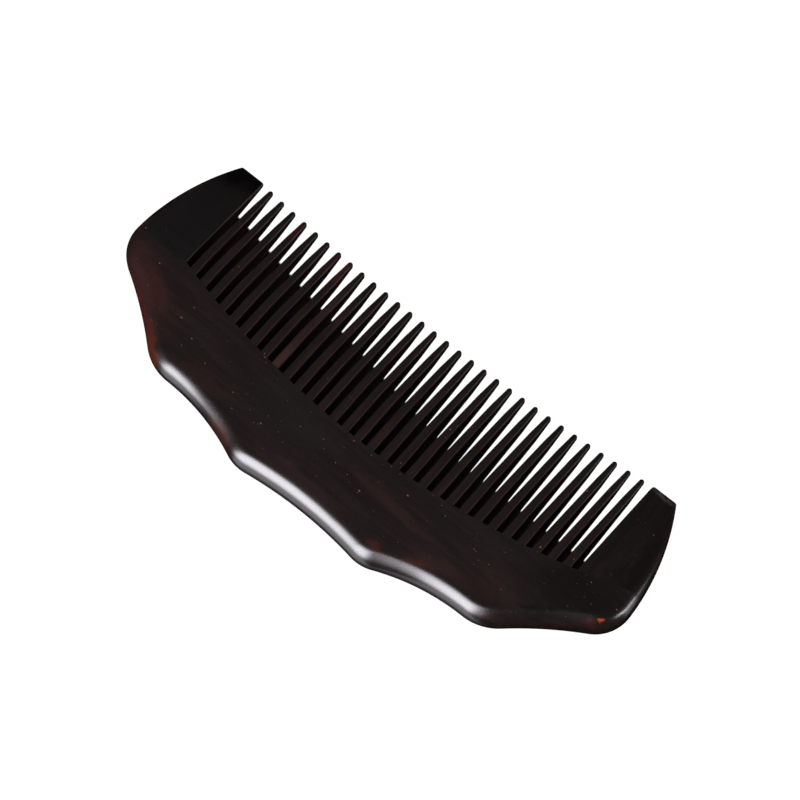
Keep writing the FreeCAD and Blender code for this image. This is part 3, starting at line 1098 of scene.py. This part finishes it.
@dataclass(frozen=True)
class Flecks:
    """Tiny pale mineral dots in loose strings along the grain."""

    share: float = 0.5  # share of the places for a dot that have one
    share_border: float = 0.3
    spacings: tuple[float, ...] = (0.95, 1.3, 2.0)
    stretch: float = 1.8  # along the grain
    size: Span = (0.09, 0.03)  # distances from a dot's middle, in spacings
    crowd: Noise = Noise(15.0, 6.0, 2.0, 91.0)
    crowding: float = 1.9
    tone: Tone = (156, 104, 80)
    strength: float = 0.65

    def marks(self, tree: WoodTree) -> Wire:
        """Scatter the dots.

        Args:
            tree: The wood's node tree.

        Returns:
            How much of a dot shows.
        """
        crowd = (tree.noise(self.crowd) - 0.5) * self.crowding
        least = 1.0 - self.share
        marks = None
        for spacing in self.spacings:
            distance, chance = tree.cells(spacing * self.stretch, spacing)
            dots = distance.ramp(*self.size) * (chance + crowd).ramp(least, least + self.share_border)
            marks = dots if marks is None else marks.most(dots)
        return marks * self.strength


@dataclass(frozen=True)
class Hardwood:
    """Near-black polished heartwood with red streaks, pores and pale flecks."""

    name: str
    grain: Grain
    shape: CombShape
    tints: tuple[Tint, ...]
    # tones of the wood
    heart: Tone = (29, 20, 19)
    light_heart: Tone = (37, 26, 25)
    cool_heart: Tone = (28, 24, 22)
    ember: Tone = (54, 29, 25)
    sawn: Tone = (38, 17, 13)
    # patterns of the wood
    pores: Pores = Pores()
    flecks: Flecks = Flecks()
    cloud_width: float = 6.0
    glow: Noise = Noise(7.0, 2.2, 4.0, 31.0)
    fibre: Noise = Noise(2.6, 0.16, 2.0)
    speck: Noise = Noise(0.5, 0.35, 2.0, 3.1)
    wave: Noise = Noise(9.0, 7.0, 1.0, 12.0)
    sidle: Noise = Noise(4.0, 2.4, 3.0, 77.0)  # unevenness of the tints' borders
    sway: Noise = Noise(5.0, 3.0, 3.0, 83.0)
    sidle_reach: float = 5.0
    sway_reach: float = 3.0
    tint_base: float = 0.4  # of a tint's strength, to which mottle adds
    tint_mottle: float = 1.2
    # brightness, as shares of the colour
    dimmest: float = 0.84
    cloud_light: float = 0.24
    fibre_light: float = 0.06
    speck_light: float = 0.05
    # what the shape does to the wood, with a painted glow of light along the rims
    # painted glow: share of the ember tone mixed in along the rounded rims, standing in for light they
    # catch
    painted_rim_glow: float = 0.3
    tip_shade: float = 0.0
    tip_shade_y: Span = (9.0, 20.0)
    rim_from_wall: Span = (0.15, 0.6)  # how level the surface is where the rims begin and end
    rim_to_face: Span = (0.99, 0.8)
    wall: Span = (0.45, 0.12)
    slots_past_row: Span = (1.475, 0.975)
    slots_past_root: Span = (-2.0, -1.4)
    worn_y: Span = (19.0, 9.0)  # stretch of the slots in which the rims lose their polish
    wall_bareness: float = 0.96
    rim_bareness: float = 0.85
    # polish
    polish: float = 0.17
    cloud_dullness: float = 0.07
    speck_dullness: float = 0.06
    rim_dullness: float = 0.2
    sawn_roughness: float = 0.8
    sawn_gloss: float = 0.08
    ior: float = 1.5
    wave_height: float = 0.09
    fibre_height: float = 0.0012
    speck_height: float = 0.0006

    @property
    def cloud(self) -> Noise:
        """Broad lighter and darker patches."""
        return Noise(14.0, self.cloud_width, 2.0, 7.3)

    @property
    def layers(self) -> tuple[Layer, ...]:
        """List the tones that lie over the darkest one.

        Returns:
            Light streaks, cooler patches and embers.
        """
        return (
            Layer(Noise(16.0, 0.9, 5.0), (0.3, 0.74), self.light_heart),
            Layer(Noise(17.0, self.cloud_width * 0.8, 2.0, 57.0), (0.46, 0.72), self.cool_heart, 0.55),
            Layer(self.glow, (0.58, 0.76), self.ember, 0.3),
        )

    def tinted(self, tree: WoodTree) -> Wire:
        """Lay the layers and the tints, mottled and with uneven borders, over the darkest tone.

        Args:
            tree: The wood's node tree.

        Returns:
            The colour.
        """
        colour = colour_of(self.heart)
        for layer in self.layers:
            share = tree.noise(layer.noise).ramp(*layer.span) * layer.strength
            colour = tree.mix(share, colour, colour_of(layer.tone))
        x = tree.x + (tree.noise(self.sidle) - 0.5) * self.sidle_reach
        y = tree.y + (tree.noise(self.sway) - 0.5) * self.sway_reach
        mottle = self.tint_base + self.tint_mottle * tree.noise(self.glow)
        for tint in self.tints:
            colour = tree.mix(within(tint.share(x, y) * mottle), colour, colour_of(tint.tone))
        return colour

    def brightness(self, tree: WoodTree) -> Wire:
        """Work out how bright the wood is from place to place.

        Args:
            tree: The wood's node tree.

        Returns:
            The brightness, as a share of the wood's colour.
        """
        grain = (self.dimmest + self.cloud_light * tree.noise(self.cloud)
                 + self.fibre_light * tree.noise(self.fibre).ramp(*MOST_NOISE)
                 + self.speck_light * tree.noise(self.speck))
        return grain - self.tip_shade * tree.y.ramp(*self.tip_shade_y)

    def in_slots(self, tree: WoodTree) -> Wire:
        """Mark the row of teeth and the edges around it.

        Args:
            tree: The wood's node tree.

        Returns:
            1 in the row and just around it, 0 elsewhere.
        """
        past_row, full_row = (self.shape.row_end + reach for reach in self.slots_past_row)
        past_root, full_root = (self.shape.root_line + reach for reach in self.slots_past_root)
        return abs(tree.x).ramp(past_row, full_row) * tree.y.ramp(past_root, full_root)

    def colour(self, tree: WoodTree, pore: Wire, rim: Wire) -> Wire:
        """Colour the polished wood, with a painted glow of light along its rounded rims.

        Args:
            tree: The wood's node tree.
            pore: How much of a pore shows.
            rim: How much a place belongs to a rounded rim.

        Returns:
            The colour.
        """
        colour = tree.scale(self.tinted(tree), self.brightness(tree))
        colour = tree.mix(pore * self.pores.strength, colour, colour_of(self.pores.tone))
        colour = tree.mix(self.flecks.marks(tree), colour, colour_of(self.flecks.tone))
        # painted glow: the rounded rims take on a reddish ember tone, standing in for light that falls on
        # them
        painted_glow = rim * self.painted_rim_glow * tree.noise(self.glow).ramp(*MOST_NOISE)
        return tree.mix(painted_glow, colour, colour_of(self.ember))

    def relief(self, tree: WoodTree, pore: Wire) -> Wire:
        """Raise soft waves, as polishing by hand leaves them, with fibres and pores.

        Args:
            tree: The wood's node tree.
            pore: How much of a pore shows.

        Returns:
            The surface's direction.
        """
        height = (tree.noise(self.wave) * self.wave_height + tree.noise(self.fibre) * self.fibre_height
                  + tree.noise(self.speck) * self.speck_height - pore * self.pores.depth)
        return tree.node("ShaderNodeBump", None, {
            "Strength": 1.0, "Distance": METRES, "Height": height}, output="Normal")

    def make(self) -> bpy.types.Material:
        """Make the material: polished wood, and bare sawn wood on the walls of the slots.

        Returns:
            The material, with its node tree.
        """
        tree = WoodTree(self.name, self.grain)
        pore, in_slots, level = self.pores.marks(tree), self.in_slots(tree), tree.level
        rim = level.ramp(*self.rim_from_wall) * level.ramp(*self.rim_to_face)
        normal = self.relief(tree, pore)
        roughness = (self.polish + self.cloud_dullness * tree.noise(self.cloud)
                     + self.speck_dullness * tree.noise(self.speck) + self.pores.dullness * pore
                     + self.rim_dullness * rim * in_slots)
        polished = tree.node("ShaderNodeBsdfPrincipled", None, {
            "Base Color": self.colour(tree, pore, rim), "Roughness": roughness, "IOR": self.ior,
            "Normal": normal})
        sawn = tree.node("ShaderNodeBsdfPrincipled", None, {
            "Base Color": colour_of(self.sawn), "Roughness": self.sawn_roughness,
            "Specular IOR Level": self.sawn_gloss, "Normal": normal})
        worn = rim * tree.y.ramp(*self.worn_y) * self.rim_bareness
        bare = (level.ramp(*self.wall) * self.wall_bareness + worn) * in_slots
        shader = tree.node("ShaderNodeMixShader", None, {0: within(bare), 1: polished, 2: sawn})
        return tree.finish(shader)


# patches of other tones: place, half length, half width, lean, tone and strength
SPINE_TINTS = (
    Tint(-10, -11, 14, 5, 0, (29, 26, 24), 0.5),
    Tint(50, -2, 11, 6, 20, (21, 15, 15), 0.9),
    Tint(-53.5, 2.6, 6.5, 2.4, -15, (20, 18, 18), 0.95),
    Tint(-50, -7, 10, 3.6, -30, (56, 29, 26), 0.8),
    Tint(-49, -10.9, 10, 1.2, -33, (76, 27, 17), 0.95),
    Tint(-41.3, -16.2, 4.0, 1.2, -38, (92, 33, 17), 0.95),
    # partly the wood's red tone and partly painted glow: these patches along the back edge, just inside
    # the highlights, brighten where light falls on the rounding
    Tint(-30, -14.8, 8, 1.8, 3, (44, 27, 24), 0.6),
    Tint(-20.5, -20.6, 4, 1.4, -25, (72, 34, 27), 0.9),
    Tint(-3, -18.5, 12, 1.8, 0, (48, 31, 31), 0.7),
    Tint(15.5, -19.6, 2.6, 1.2, 5, (60, 30, 24), 0.9),
    Tint(24, -16.9, 3.0, 0.9, 20, (68, 34, 23), 0.9),
    Tint(28, -15, 8, 1.8, 6, (50, 31, 29), 0.7),
    Tint(13, -11.4, 13, 1.4, -6, (46, 29, 27), 0.7),
    Tint(38, -11.5, 6, 3.4, 0, (42, 28, 25), 0.6),
    # painted shade: a near-black band along the rounding between the right bump and the shoulder,
    # standing in for the dark that the polish reflects there
    Tint(48.5, -9.0, 8, 1.3, 34, (12, 6, 5), 0.95),
    Tint(55.2, -5.4, 1.0, 0.7, 30, (62, 14, 17), 0.9),
    Tint(56.6, -4.1, 0.6, 0.45, 40, (190, 74, 18), 1.0),
)
GUARD_TINTS = (
    Tint(-53, 8, 16, 9, 90, (22, 19, 20), 0.95),
    Tint(-51.5, 22.8, 9, 5.2, 0, (6, 5, 5), 1.0),
    Tint(56.5, 5, 12, 2, 100, (20, 14, 14), 0.8),
    # painted highlight: a pale grey line on the bevel of the right guard's tip, where it catches light
    Tint(50, 22.7, 4, 0.5, 0, (62, 55, 56), 0.8),
)
TOOTH_TINTS = (
    Tint(-36, 19.5, 3, 0.9, 90, (60, 22, 22), 0.9),
    Tint(-30, 20.5, 2, 0.9, 90, (44, 20, 26), 0.7),
    Tint(-27, 18.5, 3, 0.9, 90, (52, 24, 24), 0.7),
    Tint(-24, 18, 3.4, 0.9, 94, (72, 27, 26), 0.9),
    Tint(-21, -2.5, 5, 1.3, 90, (58, 35, 33), 0.9),
    Tint(-21, 8, 8, 1.2, 90, (46, 30, 29), 0.9),
    Tint(3, -2, 4, 1.1, 90, (46, 26, 25), 0.7),
)


@dataclass(frozen=True)
class LightTable:
    """The evenly lit white surface that the comb lies on, dark where the comb shuts light out.

    The shade reaches from under the spine to a slanting line beneath the teeth.
    """

    shape: CombShape
    glow: float = 1.05
    shade: Tone = (10, 3, 3)
    shade_y: float = 7.5  # at the middle of the comb
    shade_slant: float = -0.175
    shade_least_y: float = 4.6
    left_past_row: float = 1.975  # how far the shade reaches past the row on its left
    right_past_row: float = 0.475  # and on its right
    foot_past_root: Span = (-0.4, 0.6)  # where the shade begins, counted from the root line
    border: float = 0.5  # width of the slanting border
    end_border: float = 0.3  # and of the borders at both ends

    def make(self) -> bpy.types.Material:
        """Make the material.

        Returns:
            The material, with its node tree.
        """
        tree = Surface("light_table")
        x, y, _ = tree.place()
        line = (x * self.shade_slant + self.shade_y).most(self.shade_least_y)
        left, right = -self.shape.row_end - self.left_past_row, self.shape.row_end + self.right_past_row
        ends = x.ramp(left, left + self.end_border) * x.ramp(right, right - self.end_border)
        foot = y.ramp(*(self.shape.root_line + reach for reach in self.foot_past_root))
        under = (y - line).ramp(self.border, 0.0) * foot * ends
        colour = tree.mix(under, (1.0, 1.0, 1.0, 1.0), colour_of(self.shade))
        light = tree.node("ShaderNodeEmission", None, {"Color": colour, "Strength": self.glow})
        return tree.finish(light)


# ---------------------------------------------------------------- studio


def direction(bearing: float, elevation: float) -> Vector:
    """Point from the comb to a place in the studio.

    Args:
        bearing: Angle from straight behind the comb towards its right.
        elevation: Angle above the table.

    Returns:
        The direction, of length 1.
    """
    turn, rise = math.radians(bearing), math.radians(elevation)
    return Vector((math.sin(turn) * math.cos(rise), -math.cos(turn) * math.cos(rise), math.sin(rise)))


@dataclass(frozen=True)
class Card:
    """A soft rectangular light that shows as a reflection in the polish.

    Its brightness fades towards its borders, by shares of its width and height.
    """

    name: str
    bearing: float
    elevation: float
    width: float
    height: float
    radiance: float
    distance: float = 1.0
    colour: tuple[float, float, float] = (0.93, 0.93, 1.0)
    roll: float = 0.0  # angle by which the light is turned about its own direction
    side_fade: float = 0.2
    top_fade: float = 0.15
    foot_fade: float = 0.5
    taper: float = 0.0  # share of its width that is gone at its top

    def hang(self) -> bpy.types.Object:
        """Hang the light in the scene.

        Returns:
            The light's object.
        """
        light = bpy.data.lights.new(self.name, "AREA")
        light.shape = "RECTANGLE"
        light.size = self.width
        light.size_y = self.height
        light.energy = self.radiance * math.pi * self.width * self.height
        light.color = self.colour
        light.use_nodes = True
        graph = Graph(light.node_tree)
        across, up, _ = graph.parts(graph.node("ShaderNodeNewGeometry", output="Parametric"))
        off_middle = abs(across - 0.5) / (1.0 - up * self.taper)
        sides = off_middle.ramp(0.5, 0.5 - self.side_fade)
        ends = up.ramp(0.0, self.foot_fade) * up.ramp(1.0, 1.0 - self.top_fade)
        glow = graph.node("ShaderNodeEmission", None, {"Strength": sides * ends})
        graph.node("ShaderNodeOutputLight", None, {"Surface": glow})
        lamp = bpy.data.objects.new(self.name, light)
        bpy.context.scene.collection.objects.link(lamp)
        way = direction(self.bearing, self.elevation)
        lamp.location = way * self.distance
        turn = way.to_track_quat("Z", "Y") @ Quaternion((0.0, 0.0, 1.0), math.radians(self.roll))
        lamp.rotation_euler = turn.to_euler()
        lamp.visible_diffuse = False
        return lamp


CARDS = (
    Card("window", -12.0, 35.0, 1.09, 2.0, 22.5, side_fade=0.24, top_fade=0.4, foot_fade=0.42,
         taper=0.82),
    Card("window_side", 9.0, 22.0, 0.6, 1.5, 4.5, side_fade=0.5, top_fade=0.35, foot_fade=0.8, taper=0.4),
    Card("window_in_table", -11.5, -30.0, 0.7, 2.0, 4.4, top_fade=0.25, foot_fade=1.0),
    Card("strip", 104.0, 14.0, 0.24, 1.0, 29.0, roll=45.0, side_fade=0.5, top_fade=0.34, foot_fade=0.8),
    Card("strip_in_table", 106.0, -12.0, 0.36, 1.0, 3.0, side_fade=0.4, top_fade=0.3, foot_fade=0.8),
)


@dataclass(frozen=True)
class Studio:
    """Lit table, soft lights and the camera above the comb."""

    shape: CombShape
    bearing: float = 39.381
    elevation: float = 70.05
    roll: float = 0.438
    distance: float = 737.0
    lens: float = 178.11
    sensor: float = 36.0
    near: float = 0.01  # metres in front of the camera within which it sees nothing
    aim: tuple[float, float, float] = (0.0, -1.37, 0.45)
    slide: tuple[float, float] = (5.225, 6.339)  # of the camera to its right and upwards
    dome_light: float = 1.0
    floor_size: float = 6.0
    floor_drop: float = 0.02  # millimetres below the comb, so that no two faces share a plane
    cards: tuple[Card, ...] = CARDS

    def set_camera(self) -> None:
        """Place the camera."""
        bearing, roll = math.radians(self.bearing), math.radians(self.roll)
        back = direction(self.bearing, self.elevation)
        level = Vector((math.cos(bearing), math.sin(bearing), 0.0))
        over = level.cross(-back)
        right = level * math.cos(roll) + over * math.sin(roll)
        up = over * math.cos(roll) - level * math.sin(roll)
        place = Vector(self.aim) + back * self.distance + right * self.slide[0] + up * self.slide[1]
        data = bpy.data.cameras.new("camera")
        data.lens = self.lens
        data.sensor_width = self.sensor
        data.clip_start = self.near
        camera = bpy.data.objects.new("camera", data)
        bpy.context.scene.collection.objects.link(camera)
        camera.matrix_world = Matrix((right, up, back)).transposed().to_4x4()
        camera.location = place * METRES
        bpy.context.scene.camera = camera

    def set_floor(self) -> None:
        """Lay the lit table under the comb."""
        data = bpy.data.meshes.new("floor")
        half, down = self.floor_size / 2, -self.floor_drop * METRES
        corners = [(-half, -half, down), (half, -half, down), (half, half, down), (-half, half, down)]
        data.from_pydata(corners, [], [(0, 1, 2, 3)])
        data.materials.append(LightTable(self.shape).make())
        floor = bpy.data.objects.new("floor", data)
        bpy.context.scene.collection.objects.link(floor)
        floor.visible_glossy = False
        floor.visible_diffuse = False
        floor.visible_shadow = False

    def set_up(self) -> None:
        """Set up the table, the lights and the camera."""
        scene = bpy.context.scene
        scene.view_settings.view_transform = "Standard"
        world = bpy.data.worlds.new("studio")
        scene.world = world
        world.use_nodes = True
        background = world.node_tree.nodes["Background"]
        background.inputs["Color"].default_value = (1.0, 1.0, 1.0, 1.0)
        background.inputs["Strength"].default_value = self.dome_light
        world.cycles_visibility.glossy = False
        self.set_floor()
        for card in self.cards:
            card.hang()
        self.set_camera()


# ---------------------------------------------------------------- the whole comb


def main() -> None:
    """Build the comb and its studio."""
    logging.basicConfig(level=logging.INFO, format="%(name)s %(message)s")
    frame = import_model()
    tooth_nodes = sorted(node for node in frame["nodes"] if node.startswith("tooth_"))
    shape = CombShape.from_frame()
    spine_wood = Hardwood("spine_wood", Grain.ALONG_COMB, shape, SPINE_TINTS).make()
    guard_wood = Hardwood("guard_wood", Grain.ALONG_TEETH, shape, GUARD_TINTS, heart=(22, 17, 16),
                          light_heart=(30, 21, 20), flecks=Flecks(0.2), tip_shade=0.12).make()
    tooth_wood = Hardwood("tooth_wood", Grain.ALONG_TEETH, shape, TOOTH_TINTS, cloud_width=2.2,
                          flecks=Flecks(0.2), painted_rim_glow=0.1, tip_shade=0.2).make()
    for part in (Spine(shape, spine_wood), Guard(shape, guard_wood, mirror=True),
                 Guard(shape, guard_wood, mirror=False), Teeth(shape, tooth_wood, tooth_nodes)):
        part.dress(part.build())
    Studio(shape).set_up()


if __name__ == "__main__":
    main()
